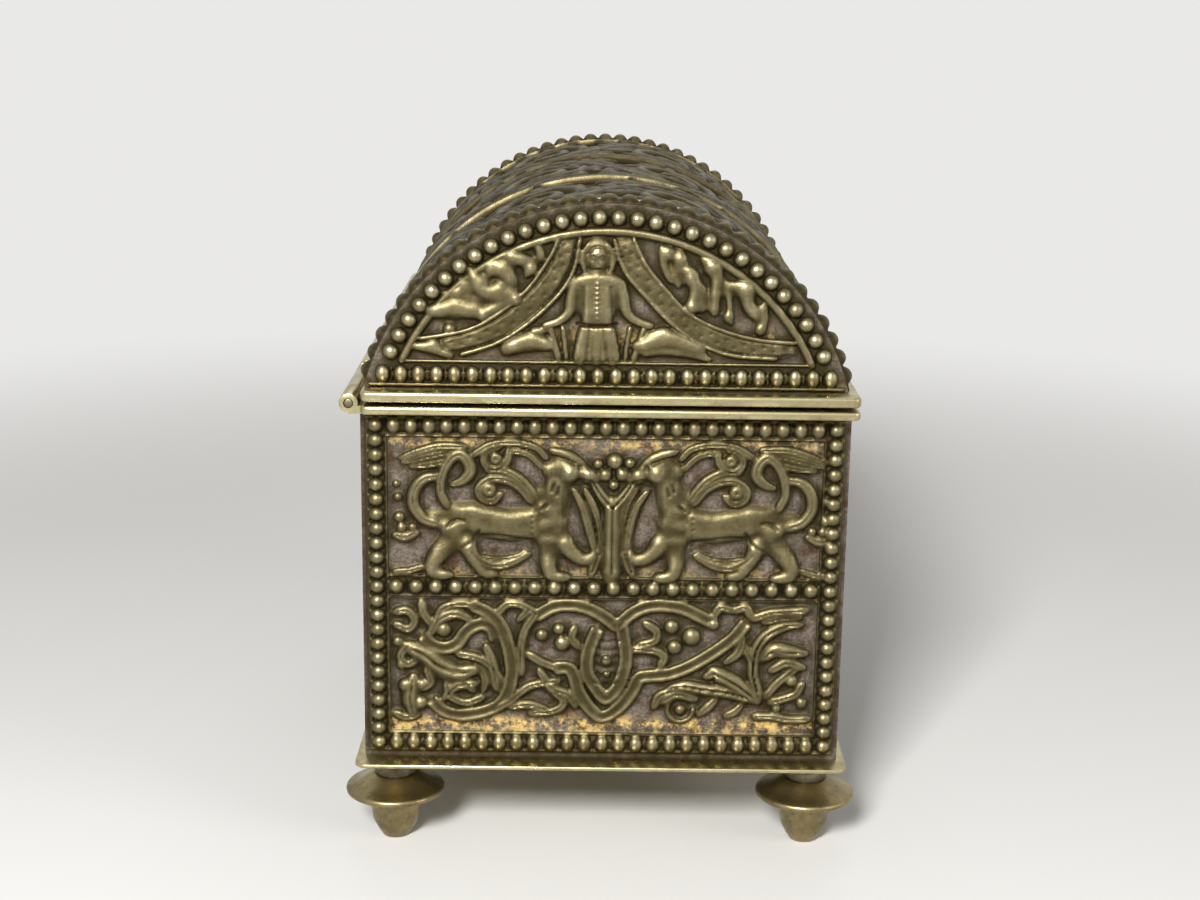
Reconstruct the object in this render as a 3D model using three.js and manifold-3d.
// Bronze casket: a footed box of relief panels with a barrel-vaulted lid on a long pin hinge
// Millimetres. X is the width, with the hinge on -X. Y is the length. +Z is up.
// The origin is the middle of the footprint, on the surface that the feet stand on.

import * as THREE from 'three';
import { mergeVertices } from 'three/addons/utils/BufferGeometryUtils.js';
import Module from 'manifold-3d';

const wasm = await Module();
wasm.setup();

// Driving dimensions of the box
const wallWidth = 80;
const wallLength = 121;
const wallHeight = 60;
const wallSheet = 1;
const reliefHeight = 1.6;
const basePlateThickness = 0.7;
const basePlateSideReach = 1.4;
const basePlateEndReach = 3.3;
const basePlateCorner = 2;

// Driving dimensions of the rims and the hinge
const bodyRimThickness = 1.5;
const lidRimThickness = 1.75;
const rimGap = 0.6;
const rimSideReach = 0.9;
const rimEndReach = 3.1;
const hingePinRadius = 0.75;
const hingeBoreClearance = 0.06;
const knuckleRadius = 1.55;
const knuckleGap = 0.3;
const knuckleCount = 5;
const knuckleInset = 0.8;
const hingeSetOut = 1.4;

// Driving dimensions of the lid
const archRise = 29.9;
const archChord = 78.5;
const vaultSheet = 1;
const vaultRelief = 1;
const vaultRingWidth = 2.4;
const vaultRingHeight = 0.8;
const vaultFields = 3;
const waveCount = 4;
const leafHeight = 0.6;
const leafInset = 1.5;
const leafStemHalfWidth = 1.2;
const broadLeafHalfWidth = 2;
const curlRadius = 8.6;
const curlEndRadius = 3.4;
const curlDrop = 1;
const curlTurns = 0.9;
const curlStart = 0.26;

// Driving dimensions of a foot, its collar and its screw
const footInsetX = 4.7;
const footInsetY = 5.5;
const footHeight = 11.6;
const footDiscRadius = 8.5;
const footDiscDrop = 2.4;
const footDiscEdge = 0.9;
const footStubTopRadius = 4.4;
const footStubShoulderRadius = 3.9;
const footStubShoulderHeight = 2.7;
const footStubEndRadius = 2.3;
const footStubEndChamfer = 0.45;
const footStubFlare = 1.2;
const footStubFlareHeight = 2;
const collarRadius = 3.75;
const collarHeight = 4;
const screwRadius = 1.2;
const screwHeadRadius = 2;
const screwHeadHeight = 1.2;
const screwHeadChamfer = 0.5;
const screwDepthInFoot = 5;
const screwClearance = 0.1;

// Facets of the round shapes
const footSides = 20;
const collarSides = 12;
const screwSides = 8;
const hingeSides = 12;
const plateCornerFacets = 12;
const archFacets = 20;

// Driving dimensions of the mouldings and the relief
const beadRadius = 1.15;
const beadPitch = 2.9;
const beadColumnPitch = 2.5;
const beadBandHeight = 0.45;
const beadRowInset = 2.5;
const filletInset = 4.2;
const filletWidth = 0.7;
const filletHeight = 0.8;
const splitHeight = 30.1;
const splitBeadPitch = 3.28;
const splitBandHalf = 1.75;
const animalHeight = 1.35;
const scrollHeight = 0.9;
const ribbonHalfWidth = 0.9;
const tendrilHalfWidth = 0.75;
const sheafHalfWidth = 1.2;
const bevelWidth = 0.3;

// Heights and places that follow from the driving dimensions
const collarBottom = footHeight;
const basePlateBottom = collarBottom + collarHeight;
const wallBottom = basePlateBottom + basePlateThickness;
const wallTop = wallBottom + wallHeight;
const bodyRimTop = wallTop + bodyRimThickness;
const lidRimBottom = bodyRimTop + rimGap;
const lidRimTop = lidRimBottom + lidRimThickness;
const wallDepth = wallSheet + reliefHeight;
const halfWidth = wallWidth / 2;
const halfLength = wallLength / 2;
const insideHalfWidth = halfWidth - wallDepth;
const insideHalfLength = halfLength - wallDepth;
const hingeAxisX = -halfWidth - hingeSetOut;
const hingeAxisZ = (bodyRimTop + lidRimBottom) / 2;
const rimHingeEdge = hingeAxisX + knuckleRadius + knuckleGap;
const rimOpenEdge = halfWidth + rimSideReach;
const rimHalfLength = halfLength + rimEndReach;
const archHalfChord = archChord / 2;
const archRadius = (archHalfChord * archHalfChord + archRise * archRise) / (2 * archRise);
const archCentreZ = lidRimTop + archRise - archRadius;

// Finishes of the metal
const finishes = {
  panel: { color: 0x8f8050, roughness: 0.42, metalness: 0.95 },
  rim: { color: 0xa49a5c, roughness: 0.32, metalness: 1 },
  vault: { color: 0x7c6d45, roughness: 0.45, metalness: 0.95 },
  foot: { color: 0xb29a62, roughness: 0.3, metalness: 1 },
  steel: { color: 0x8d8a80, roughness: 0.4, metalness: 1 },
};

// Vertices closer than this are one, and a cut runs this far past what it cuts
const mergeDistance = 1e-5;
const cutOverrun = 1;

// Faces of the vault that lie this close to one plane are joined
const vaultTolerance = 0.08;

// A closed geometry as a solid that can be joined and cut
function solidOf(geometry) {
  const bare = geometry.clone();
  bare.deleteAttribute('normal');
  bare.deleteAttribute('uv');
  const merged = mergeVertices(bare, mergeDistance);
  return new wasm.Manifold(new wasm.Mesh({
    numProp: 3,
    vertProperties: merged.attributes.position.array,
    triVerts: merged.index.array,
  }));
}

// The solid back as a geometry
function geometryOf(body) {
  const mesh = body.getMesh();
  const geometry = new THREE.BufferGeometry();
  geometry.setAttribute('position', new THREE.BufferAttribute(mesh.vertProperties, 3));
  geometry.setIndex(new THREE.BufferAttribute(mesh.triVerts, 1));
  geometry.computeVertexNormals();
  return geometry;
}

function namedMesh(name, geometry, finish) {
  const mesh = new THREE.Mesh(geometry, new THREE.MeshStandardMaterial(finishes[finish]));
  mesh.name = name;
  return mesh;
}

// A box between two corners
function boxBetween(low, high) {
  const size = high.map((value, i) => value - low[i]);
  const centre = high.map((value, i) => (value + low[i]) / 2);
  return new THREE.BoxGeometry(...size).translate(...centre);
}

// A rod along Y between two places
function rodAlongY(radius, sides, x, z, yStart, yEnd) {
  const rod = new THREE.CylinderGeometry(radius, radius, yEnd - yStart, sides);
  return rod.translate(x, (yStart + yEnd) / 2, z);
}

function rectangle(x0, y0, x1, y1) {
  const outline = new THREE.Shape();
  outline.moveTo(x0, y0);
  outline.lineTo(x1, y0);
  outline.lineTo(x1, y1);
  outline.lineTo(x0, y1);
  outline.closePath();
  return outline;
}

function roundedRectangle(halfX, halfY, corner) {
  const outline = new THREE.Shape();
  outline.moveTo(halfX, -halfY + corner);
  outline.lineTo(halfX, halfY - corner);
  outline.absarc(halfX - corner, halfY - corner, corner, 0, Math.PI / 2);
  outline.lineTo(-halfX + corner, halfY);
  outline.absarc(-halfX + corner, halfY - corner, corner, Math.PI / 2, Math.PI);
  outline.lineTo(-halfX, -halfY + corner);
  outline.absarc(-halfX + corner, -halfY + corner, corner, Math.PI, 1.5 * Math.PI);
  outline.lineTo(halfX - corner, -halfY);
  outline.absarc(halfX - corner, -halfY + corner, corner, 1.5 * Math.PI, 2 * Math.PI);
  return outline;
}

// An arc of an outline gets two facets for each of its curve segments
function slab(outline, z, thickness, arcFacets = plateCornerFacets) {
  const settings = { depth: thickness, bevelEnabled: false, curveSegments: arcFacets / 2 };
  return new THREE.ExtrudeGeometry(outline, settings).translate(0, 0, z);
}

// The four places of the feet
const footPlaces = [
  { name: 'front_left', x: -1, y: -1 },
  { name: 'front_right', x: 1, y: -1 },
  { name: 'rear_left', x: -1, y: 1 },
  { name: 'rear_right', x: 1, y: 1 },
].map(({ name, x, y }) => ({ name, x: x * (halfWidth - footInsetX), y: y * (halfLength - footInsetY) }));

function basePlate() {
  const outline = roundedRectangle(
    halfWidth + basePlateSideReach, halfLength + basePlateEndReach, basePlateCorner);
  for (const place of footPlaces) {
    const hole = new THREE.Path();
    hole.absarc(place.x, place.y, screwRadius + screwClearance, 0, 2 * Math.PI, true);
    outline.holes.push(hole);
  }
  return namedMesh('base_plate', slab(outline, basePlateBottom, basePlateThickness), 'rim');
}

// A panel lies on XY with its back at z = 0, and its relief rises from the sheet's face.
// Pieces of relief start inside the sheet, so that they join it
const reliefRoot = wallSheet / 2;

function raised(outline, height, arcFacets) {
  return slab(outline, reliefRoot, wallSheet + height - reliefRoot, arcFacets);
}

function ring(outer, inner) {
  outer.holes.push(inner);
  return outer;
}

const point = (x, y) => new THREE.Vector2(x, y);

// A row of touching beads between crossings of its path, each bead rising to a point.
// Every crossing has four vertices, left and right, low and high, and every bead one more
function beadStrip(crossings) {
  const root = wallSheet;
  const foot = wallSheet + beadBandHeight;
  const top = wallSheet + reliefHeight;
  const count = crossings.length - 1;
  const vertices = crossings.flatMap(({ left, right }) => [
    left.x, left.y, root, right.x, right.y, root, left.x, left.y, foot, right.x, right.y, foot]);
  const index = [];
  for (let i = 0; i < count; i += 1) {
    const here = crossings[i];
    const next = crossings[i + 1];
    const middle = here.left.clone().add(here.right).add(next.left).add(next.right).divideScalar(4);
    vertices.push(middle.x, middle.y, top);
    const tip = 4 * (count + 1) + i;
    const [leftLow, rightLow, left, right] = [0, 1, 2, 3].map((corner) => 4 * i + corner);
    const [nextLeftLow, nextRightLow, nextLeft, nextRight] = [4, 5, 6, 7].map((corner) => 4 * i + corner);
    index.push(right, nextRight, tip, nextRight, nextLeft, tip, nextLeft, left, tip, left, right, tip);
    index.push(rightLow, nextRightLow, nextRight, rightLow, nextRight, right);
    index.push(nextLeftLow, leftLow, left, nextLeftLow, left, nextLeft);
    index.push(leftLow, nextLeftLow, nextRightLow, leftLow, nextRightLow, rightLow);
  }
  const last = 4 * count;
  index.push(0, 1, 3, 0, 3, 2, last + 1, last, last + 2, last + 1, last + 2, last + 3);
  const strip = new THREE.BufferGeometry();
  strip.setAttribute('position', new THREE.Float32BufferAttribute(vertices, 3));
  strip.setIndex(index);
  return strip;
}

// Beads centred from one place to another, both ends included, about one pitch apart
function beadRow(from, to, pitch) {
  const count = Math.round(from.distanceTo(to) / pitch);
  const step = to.clone().sub(from).divideScalar(count);
  const across = point(-step.y, step.x).setLength(beadRadius);
  return beadStrip(Array.from({ length: count + 2 }, (_, i) => {
    const place = from.clone().addScaledVector(step, i - 0.5);
    return { left: place.clone().add(across), right: place.clone().sub(across) };
  }));
}

// A single bead or berry
function berry(x, y, radius) {
  const height = wallSheet + reliefHeight - reliefRoot;
  const cone = new THREE.ConeGeometry(radius, height, 6).rotateX(Math.PI / 2);
  return cone.translate(x, y, reliefRoot + height / 2);
}

// A closed form through its points
const form = (points) => new THREE.Shape(points.map(([x, y]) => point(x, y)));

// A band of even width along a smooth line through a few points
function bandOutline(points, halfWidth) {
  const curve = new THREE.SplineCurve(points.map(([x, y]) => point(x, y)));
  const left = [];
  const right = [];
  points.forEach(([x, y], i) => {
    const along = curve.getTangent(i / (points.length - 1));
    left.push(point(x - along.y * halfWidth, y + along.x * halfWidth));
    right.unshift(point(x + along.y * halfWidth, y - along.x * halfWidth));
  });
  return new THREE.Shape([...left, ...right]);
}

// A form with sloping edges, wider at its foot
function chased(outline, height) {
  const geometry = new THREE.ExtrudeGeometry(outline, {
    depth: wallSheet + height - bevelWidth - reliefRoot,
    bevelThickness: bevelWidth,
    bevelSize: bevelWidth,
    bevelOffset: -bevelWidth,
    bevelSegments: 1,
    curveSegments: 1,
  });
  return geometry.translate(0, 0, reliefRoot);
}

const mirrored = (points, axis = 0) => points.map(([x, y]) => [2 * axis - x, y]);
const stretched = (points, scaleX, scaleY) => points.map(([x, y]) => [x * scaleX, y * scaleY]);

// The friezes are drawn from the panel's middle and its lower edge, for an end panel of this size,
// and they stretch with the walls
const drawnWidth = 80;
const drawnHeight = 60;
const onWall = (points) => stretched(points, wallWidth / drawnWidth, wallHeight / drawnHeight);

// The left one of the two confronted animals, from the muzzle over the back to the paws and the chest
const animalPairAxis = 1.3;
const animalOutline = [
  [-1.9, 49.8], [-3.6, 51.3], [-9.3, 54], [-10.2, 48.6], [-12.8, 44.3], [-18.5, 43.1], [-25, 44.2],
  [-28.3, 41.6], [-30.1, 35.6], [-29.6, 32.6], [-25.6, 31.9], [-26.9, 34.9], [-24.4, 37.6],
  [-16, 37], [-12.3, 37.1], [-10.9, 33.6], [-9.8, 31.7], [-5.8, 31.8], [-8, 34], [-7.6, 37],
  [-5, 35], [-2.2, 35], [-2.2, 37.2], [-5, 38.9], [-5.2, 43], [-6.2, 47.8], [-3.2, 48.3],
];
const tailRing = [
  [-27.4, 40.9], [-30.4, 41.4], [-32, 44.8], [-30.6, 48.3], [-27.6, 48.9], [-24, 50.3], [-21.9, 52],
  [-23.8, 54.2], [-28.6, 52.8], [-33.4, 51.8],
];
const crestBand = [[-21.6, 52.4], [-18.8, 54.2], [-15.6, 54.8], [-12.6, 54.2], [-10, 51.6]];
const volute = [[-12.2, 45.6], [-14, 48.2], [-17.4, 49.7], [-20.6, 48.9], [-21.2, 46.8], [-19.4, 45.2]];
const stemSheaf = [[1.3, 31.9], [1.3, 45]];
const berries = [[1.5, 51.9], [0, 49.5], [2.9, 49.5]];
const berryRadius = 1.3;

// The scroll under the animals: a hanging loop between two wide loops, and a spray at each end
const hangingLoop = [
  [-11.8, 17.6], [-8, 15.9], [-4.6, 15.2], [-3.6, 11.2], [0.3, 7.2], [4.2, 10.6],
  [6.4, 14.6], [11.4, 15.3], [18, 18.6], [23.8, 24.2],
];
const rightLoop = [[1.6, 11.2], [3.9, 17], [3.2, 22.6], [7, 27], [12, 27.2], [18.6, 24.2]];
const leftLoop = [
  [0.6, 11.2], [-2.7, 17], [-1.4, 22.6], [-5.4, 27], [-10.8, 25.2], [-13.8, 20], [-14.4, 12.4],
];
const leftScroll = [
  [-12.4, 26.2], [-14.4, 27.4], [-17.6, 25.2], [-15.6, 19],
  [-15.6, 12.2], [-20.4, 7.8], [-26.6, 7.9], [-28.4, 10],
];
const leftRibbon = [[-30, 21.5], [-26.6, 19.3], [-23.2, 21.8], [-20.3, 23.6], [-18, 21]];
const leafSprays = [
  [[25.9, 10], [22.3, 13.6], [17.9, 15.6]],
  [[25.9, 10.4], [25.3, 15.4], [27.3, 21.9], [32.8, 24]],
  [[26.4, 8], [30, 8], [34.6, 7.4]],
  [[27.4, 10.4], [30.2, 14.4], [33, 17.2]],
];

// A long panel has room for one more scroll beyond each end of its friezes,
// drawn here from the panel's end inwards
const friezeReach = 36;
const endScrollWidth = 21.3;
const endScrolls = [
  [[20.4, 33.6], [16.7, 39.6], [17.5, 46], [13.5, 51], [9.1, 48.6], [11.9, 45]],
  [[20.4, 8], [16.5, 12.4], [16.9, 19], [12.9, 23.6], [9.1, 21], [11.9, 18]],
];

function tendril(points, halfWidth) {
  return raised(bandOutline(onWall(points), halfWidth), scrollHeight);
}

function endScrollForms(half) {
  const reach = half * (drawnWidth / wallWidth);
  const lines = reach > friezeReach + endScrollWidth ? endScrolls : [];
  const right = lines.map((line) => line.map(([x, y]) => [reach - x, y]));
  return [...right, ...right.map((line) => mirrored(line))].map((line) => tendril(line, ribbonHalfWidth));
}

function animalFrieze() {
  const mirror = (points) => mirrored(points, animalPairAxis);
  const scrolls = [tailRing, crestBand, volute];
  return [
    chased(form(onWall(animalOutline)), animalHeight),
    chased(form(onWall(mirror(animalOutline))), animalHeight),
    ...[...scrolls, ...scrolls.map(mirror)].map((line) => tendril(line, tendrilHalfWidth)),
    tendril(stemSheaf, sheafHalfWidth),
    ...onWall(berries).map(([x, y]) => berry(x, y, berryRadius)),
  ];
}

function scrollFrieze() {
  const ribbons = [hangingLoop, rightLoop, leftLoop, leftScroll, leftRibbon];
  return [...ribbons, ...leafSprays].map((line) => tendril(line, ribbonHalfWidth));
}

// The edges of a wall panel: a bead row on a low band, and a fine fillet inside it
function panelBorder(half) {
  const full = rectangle(-half, 0, half, wallHeight);
  const band = filletInset - filletWidth / 2;
  const inside = filletInset + filletWidth / 2;
  const low = ring(full, rectangle(-half + band, band, half - band, wallHeight - band));
  const fillet = ring(
    rectangle(-half + band, band, half - band, wallHeight - band),
    rectangle(-half + inside, inside, half - inside, wallHeight - inside));
  const split = rectangle(
    -half + band, splitHeight - splitBandHalf, half - band, splitHeight + splitBandHalf);
  return [raised(low, beadBandHeight), raised(fillet, filletHeight), raised(split, beadBandHeight)];
}

function panelBeads(half) {
  const side = half - beadRowInset;
  const top = wallHeight - beadRowInset;
  const rowEnd = side - beadPitch;
  const splitEnd = half - filletInset - filletWidth / 2 - splitBeadPitch;
  return [
    beadRow(point(-side, beadRowInset), point(-side, top), beadColumnPitch),
    beadRow(point(side, beadRowInset), point(side, top), beadColumnPitch),
    beadRow(point(-rowEnd, beadRowInset), point(rowEnd, beadRowInset), beadPitch),
    beadRow(point(-rowEnd, top), point(rowEnd, top), beadPitch),
    beadRow(point(-splitEnd, splitHeight), point(splitEnd, splitHeight), splitBeadPitch),
  ];
}

function joined(sheet, forms) {
  return forms.reduce((body, form) => body.add(solidOf(form)), solidOf(sheet));
}

function wallPanel(panelLength) {
  const half = panelLength / 2;
  const sheet = slab(rectangle(-half, 0, half, wallHeight), 0, wallSheet);
  const friezes = [...animalFrieze(), ...scrollFrieze(), ...endScrollForms(half)];
  return geometryOf(joined(sheet, [...panelBorder(half), ...friezes, ...panelBeads(half)]));
}

function standingPanel(name, panelLength, turn, distance) {
  const holder = new THREE.Group();
  holder.rotation.z = turn;
  const mesh = namedMesh(name, wallPanel(panelLength), 'panel');
  mesh.rotation.x = Math.PI / 2;
  mesh.position.set(0, -(distance - wallDepth), wallBottom);
  holder.add(mesh);
  return holder;
}

// Knuckles share the rim's length, every second one on the same rim
const hingeStart = -rimHalfLength + knuckleInset;
const knucklePitch = (2 * -hingeStart + knuckleGap) / knuckleCount;
const knuckles = Array.from({ length: knuckleCount }, (_, i) => {
  const start = hingeStart + i * knucklePitch;
  return { start, end: start + knucklePitch - knuckleGap, onBody: i % 2 === 0 };
});

function rim(name, bottom, thickness, onBody) {
  const outline = rectangle(rimHingeEdge, -rimHalfLength, rimOpenEdge, rimHalfLength);
  outline.holes.push(rectangle(-insideHalfWidth, -insideHalfLength, insideHalfWidth, insideHalfLength));
  let flange = solidOf(slab(outline, bottom, thickness));
  for (const { start, end } of knuckles.filter((knuckle) => knuckle.onBody === onBody)) {
    const knuckle = rodAlongY(knuckleRadius, hingeSides, hingeAxisX, hingeAxisZ, start, end);
    const leaf = boxBetween(
      [hingeAxisX, start, bottom], [rimHingeEdge + knuckleGap, end, bottom + thickness]);
    flange = flange.add(solidOf(knuckle)).add(solidOf(leaf));
  }
  const boreRadius = hingePinRadius + hingeBoreClearance;
  const boreEnd = rimHalfLength + cutOverrun;
  const bore = rodAlongY(boreRadius, hingeSides, hingeAxisX, hingeAxisZ, -boreEnd, boreEnd);
  return namedMesh(name, geometryOf(flange.subtract(solidOf(bore))), 'rim');
}

function hingePin() {
  const pin = rodAlongY(hingePinRadius, hingeSides, hingeAxisX, hingeAxisZ, hingeStart, -hingeStart);
  return namedMesh('hinge_pin', pin, 'steel');
}

// The outline's plane XY becomes XZ, and the depth runs along +Y from yStart
function alongY(outline, yStart, depth, arcFacets) {
  return slab(outline, 0, depth, arcFacets).rotateX(Math.PI / 2).translate(0, yStart + depth, 0);
}

// Mouldings run round the vault at both ends and between its fields. All bands of the vault share
// their facets, so they are drawn past the rim and then cut level with it
const vaultFootAngle = Math.asin((lidRimTop - cutOverrun - archCentreZ) / archRadius);

function vaultBand(outerRadius, innerRadius, yStart, depth) {
  const outline = new THREE.Shape();
  outline.absarc(0, archCentreZ, outerRadius, vaultFootAngle, Math.PI - vaultFootAngle, false);
  outline.absarc(0, archCentreZ, innerRadius, Math.PI - vaultFootAngle, vaultFootAngle, true);
  outline.closePath();
  return solidOf(alongY(outline, yStart, depth, archFacets));
}

// Leafwork fills the fields between the mouldings. A stem runs across the vault in waves, and from each
// wave a curl rolls into the hollow that the wave leaves, with one broad leaf beyond it.
// Drawn with x along the arch, from the crown, and y along the lid, from the field's middle
const vaultOuterRadius = archRadius - vaultRelief;
const vaultInnerRadius = vaultOuterRadius - vaultSheet;
const vaultHalfLength = insideHalfLength;
const vaultFieldStep = (2 * vaultHalfLength - vaultRingWidth) / vaultFields;
const vaultFieldHalf = (vaultFieldStep - vaultRingWidth) / 2;
const waveHalfReach = Math.acos((lidRimTop - archCentreZ) / vaultOuterRadius) * vaultOuterRadius - leafInset;
const waveLength = (2 * waveHalfReach) / waveCount;
const waveSwing = vaultFieldHalf - leafInset - 2 * leafStemHalfWidth;
const stemPointsPerWave = 4;
const curlPoints = 7;

function stemLine(phase) {
  return Array.from({ length: waveCount * stemPointsPerWave + 1 }, (_, i) => {
    const turn = (Math.PI * i) / stemPointsPerWave + phase;
    return [-waveHalfReach + (i * waveLength) / stemPointsPerWave, waveSwing * Math.sin(turn)];
  });
}

// A spiral that leaves the stem beside a crest and rolls inwards under it. up is 1 or -1
function curlLine(x, up) {
  return Array.from({ length: curlPoints }, (_, i) => {
    const share = i / (curlPoints - 1);
    const angle = up * (curlStart - 2 * Math.PI * curlTurns * share);
    const radius = curlRadius + (curlEndRadius - curlRadius) * share;
    return [x + radius * Math.cos(angle), radius * Math.sin(angle) - up * curlDrop];
  });
}

function broadLeaf(x, up) {
  const foot = -up * (curlDrop + curlRadius);
  const tip = -up * (vaultFieldHalf - leafInset / 2);
  const widest = foot + (tip - foot) / 3;
  return form([[x, foot], [x + broadLeafHalfWidth, widest], [x, tip], [x - broadLeafHalfWidth, widest]]);
}

function leafwork(phase) {
  const waves = Array.from({ length: waveCount }, (_, i) => ({
    x: -waveHalfReach + (i + 0.5) * waveLength,
    up: Math.sign(Math.sin(Math.PI * (i + 0.5) + phase)),
  }));
  return [
    bandOutline(stemLine(phase), leafStemHalfWidth),
    ...waves.map(({ x, up }) => bandOutline(curlLine(x, up), leafStemHalfWidth)),
    ...waves.map(({ x, up }) => broadLeaf(x, up)),
  ];
}

// Bends a flat form round the vault, its height outwards
function bentRoundVault(solid, middle) {
  return solid.warp((place) => {
    const angle = place[0] / vaultOuterRadius;
    const radius = vaultInnerRadius + place[2];
    place[0] = radius * Math.sin(angle);
    place[2] = archCentreZ + radius * Math.cos(angle);
    place[1] += middle;
  });
}

function lidVault() {
  let vault = vaultBand(vaultOuterRadius, vaultInnerRadius, -vaultHalfLength, 2 * vaultHalfLength);
  for (let i = 0; i <= vaultFields; i += 1) {
    const start = -vaultHalfLength + i * vaultFieldStep;
    const ringRadius = vaultOuterRadius + vaultRingHeight;
    vault = vault.add(vaultBand(ringRadius, vaultInnerRadius, start, vaultRingWidth));
  }
  for (let i = 0; i < vaultFields; i += 1) {
    const middle = -vaultHalfLength + (i + 0.5) * vaultFieldStep + vaultRingWidth / 2;
    for (const outline of leafwork(i * Math.PI)) {
      vault = vault.add(bentRoundVault(solidOf(raised(outline, leafHeight)), middle));
    }
  }
  const below = lidRimTop - archRadius;
  const underRim = boxBetween([-wallWidth, -wallLength, below], [wallWidth, wallLength, lidRimTop]);
  const trimmed = vault.subtract(solidOf(underRim)).simplify(vaultTolerance);
  return namedMesh('lid_vault', geometryOf(trimmed), 'vault');
}

// A tympanum lies on XY like a panel, with y = 0 on the lid rim, and then stands up
const archBeadInset = 2.1;
const archFilletInset = 4.5;
const baseRowHeight = 2.1;
const baseFilletHeight = 4.2;

function archSegment(radius, foot) {
  const centre = archCentreZ - lidRimTop;
  const start = Math.asin((foot - centre) / radius);
  const outline = new THREE.Shape();
  outline.absarc(0, centre, radius, start, Math.PI - start, false);
  outline.closePath();
  return outline;
}

// A robed figure between two swags that hang from the crown of the arch, drawn from the middle of
// the lid rim for an arch of this chord and rise
const drawnChord = 78.5;
const drawnRise = 29.9;
const onArch = (points) => stretched(points, archChord / drawnChord, archRise / drawnRise);
const figureAxis = -1.6;
const robeOutline = [
  [-1.2, 18.6], [-3.8, 17.6], [-3, 12.6], [-2.4, 11.6], [-3.6, 4.6],
  [3.6, 4.6], [2.4, 11.6], [3, 12.6], [3.8, 17.6], [1.2, 18.6],
];
const headHeight = 21.8;
const headRadius = 1.9;
const swagHalfWidth = 2;
const leftSwag = [[-6.2, 24], [-8.4, 18.6], [-12.6, 13.6], [-18.6, 9], [-28, 6.4]];

function archBeads(radius, footAngle) {
  const sweep = Math.PI - 2 * footAngle;
  const count = Math.round((sweep * radius) / beadPitch);
  const centre = archCentreZ - lidRimTop;
  return beadStrip(Array.from({ length: count + 1 }, (_, i) => {
    const angle = footAngle + (i / count) * sweep;
    const outwards = point(Math.cos(angle), Math.sin(angle));
    return {
      left: outwards.clone().multiplyScalar(radius - beadRadius).add(point(0, centre)),
      right: outwards.clone().multiplyScalar(radius + beadRadius).add(point(0, centre)),
    };
  }));
}

function tympanumForms() {
  const rim = archRadius - archBeadInset;
  const foot = baseFilletHeight + filletWidth / 2;
  const inside = archRadius - archFilletInset;
  const border = ring(
    archSegment(archRadius, 0), archSegment(inside + filletWidth, baseFilletHeight - filletWidth / 2));
  const fillet = ring(
    archSegment(inside + filletWidth, baseFilletHeight - filletWidth / 2), archSegment(inside, foot));
  const robe = form(onArch(robeOutline.map(([x, y]) => [x + figureAxis, y])));
  const [[headX, headY]] = onArch([[figureAxis, headHeight]]);
  const swags = [leftSwag, mirrored(leftSwag, figureAxis)].map(onArch);
  const footAngle = Math.asin((baseRowHeight + 2 * beadRadius - archCentreZ + lidRimTop) / rim);
  const rowEnd = rim - beadPitch;
  return [
    raised(border, beadBandHeight, archFacets),
    raised(fillet, filletHeight, archFacets),
    archBeads(rim, footAngle),
    beadRow(point(-rowEnd, baseRowHeight), point(rowEnd, baseRowHeight), beadPitch),
    chased(robe, animalHeight),
    berry(headX, headY, headRadius),
    ...swags.map((line) => raised(bandOutline(line, swagHalfWidth), scrollHeight)),
  ];
}

function tympanum(name, turn) {
  const sheet = slab(archSegment(archRadius, 0), 0, wallSheet, archFacets);
  const holder = new THREE.Group();
  holder.rotation.z = turn;
  const mesh = namedMesh(name, geometryOf(joined(sheet, tympanumForms())), 'panel');
  mesh.rotation.x = Math.PI / 2;
  mesh.position.set(0, -insideHalfLength, lidRimTop);
  holder.add(mesh);
  return holder;
}

// Foot profile from the axis under the stub, out to the disc and back to the axis over the top
function footGeometry() {
  const discTop = footHeight - footDiscDrop;
  const discBottom = discTop - footDiscEdge;
  const softEdge = footDiscEdge / 3;
  const boreRadius = screwRadius + screwClearance;
  const boreBottom = footHeight - screwDepthInFoot - screwClearance;
  const profile = [
    [0, 0],
    [footStubEndRadius - footStubEndChamfer, 0],
    [footStubEndRadius, footStubEndChamfer],
    [footStubShoulderRadius, footStubShoulderHeight],
    [footStubTopRadius, discBottom - footStubFlareHeight],
    [footStubTopRadius + footStubFlare / 3, discBottom - footStubFlareHeight / 3],
    [footStubTopRadius + footStubFlare, discBottom],
    [footDiscRadius - softEdge, discBottom],
    [footDiscRadius, discBottom + softEdge],
    [footDiscRadius, discTop - softEdge],
    [footDiscRadius - softEdge, discTop],
    [collarRadius, footHeight],
    [boreRadius, footHeight],
    [boreRadius, boreBottom],
    [0, boreBottom],
  ].map(([radius, height]) => new THREE.Vector2(radius, height));
  return new THREE.LatheGeometry(profile, footSides).rotateX(Math.PI / 2);
}

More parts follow.
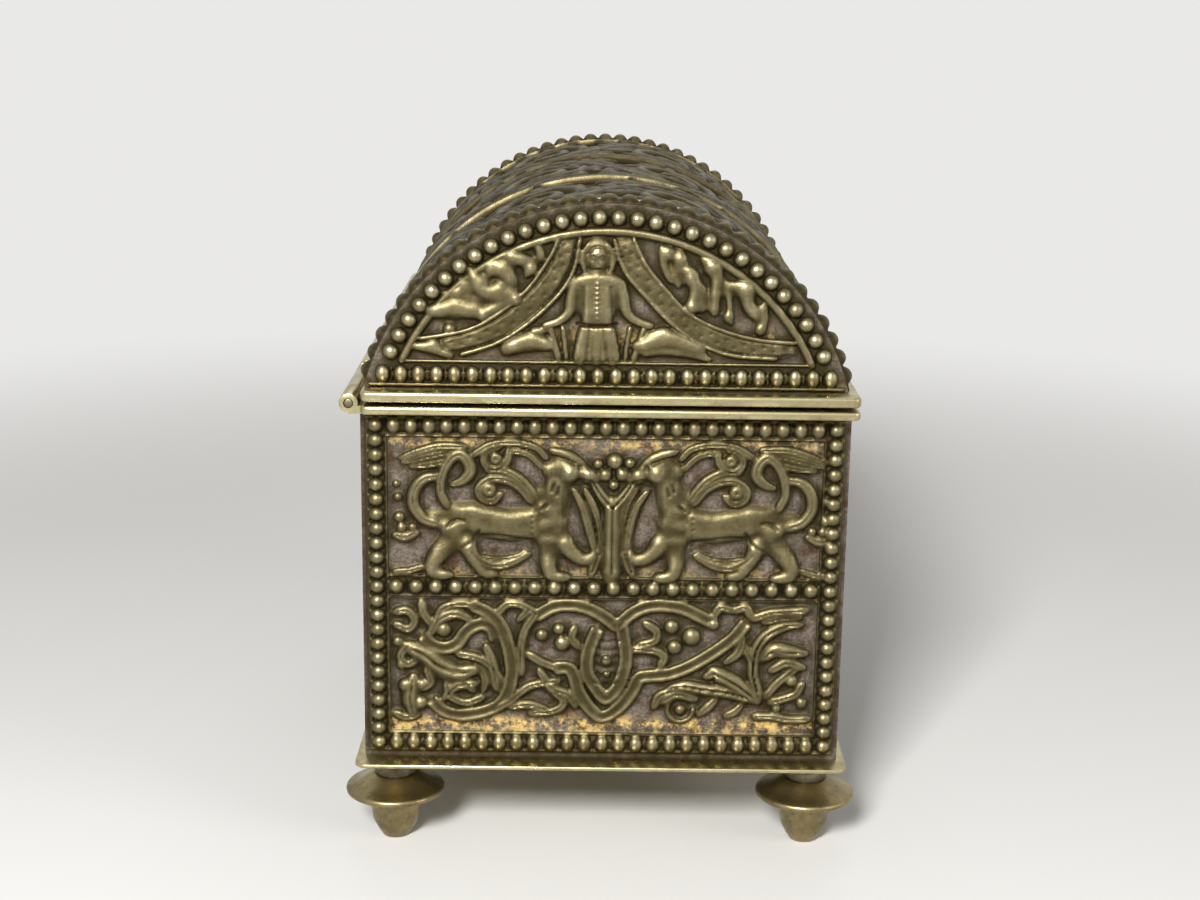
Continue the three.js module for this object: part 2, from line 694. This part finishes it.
function collarGeometry() {
  const hole = screwRadius + screwClearance;
  const profile = [
    [hole, 0],
    [collarRadius, 0],
    [collarRadius, collarHeight],
    [hole, collarHeight],
    [hole, 0],
  ].map(([radius, height]) => new THREE.Vector2(radius, height));
  return new THREE.LatheGeometry(profile, collarSides).rotateX(Math.PI / 2);
}

function screwGeometry() {
  const profile = [
    [0, footHeight - screwDepthInFoot],
    [screwRadius, footHeight - screwDepthInFoot],
    [screwRadius, wallBottom],
    [screwHeadRadius, wallBottom],
    [screwHeadRadius, wallBottom + screwHeadHeight - screwHeadChamfer],
    [screwHeadRadius - screwHeadChamfer, wallBottom + screwHeadHeight],
    [0, wallBottom + screwHeadHeight],
  ].map(([radius, height]) => new THREE.Vector2(radius, height));
  return new THREE.LatheGeometry(profile, screwSides).rotateX(Math.PI / 2);
}

function footSet(place) {
  const set = new THREE.Group();
  set.position.set(place.x, place.y, 0);
  set.add(namedMesh(`foot_${place.name}`, footGeometry(), 'foot'));
  const collar = namedMesh(`foot_collar_${place.name}`, collarGeometry(), 'steel');
  collar.position.z = collarBottom;
  set.add(collar);
  set.add(namedMesh(`foot_screw_${place.name}`, screwGeometry(), 'steel'));
  return set;
}

// The box that stands, and the lid that swings on the hinge pin
const box = new THREE.Group();
box.add(basePlate());
box.add(standingPanel('end_panel_front', wallWidth, 0, halfLength));
box.add(standingPanel('end_panel_rear', wallWidth, Math.PI, halfLength));
box.add(standingPanel('side_panel_opening', 2 * insideHalfLength, Math.PI / 2, halfWidth));
box.add(standingPanel('side_panel_hinge', 2 * insideHalfLength, -Math.PI / 2, halfWidth));
box.add(rim('body_rim', wallTop, bodyRimThickness, true));
box.add(hingePin());
for (const place of footPlaces) {
  box.add(footSet(place));
}

const lid = new THREE.Group();
lid.add(rim('lid_rim', lidRimBottom, lidRimThickness, false));
lid.add(lidVault());
lid.add(tympanum('tympanum_front', 0));
lid.add(tympanum('tympanum_rear', Math.PI));

const casket = new THREE.Group();
casket.add(box, lid);

export default casket;
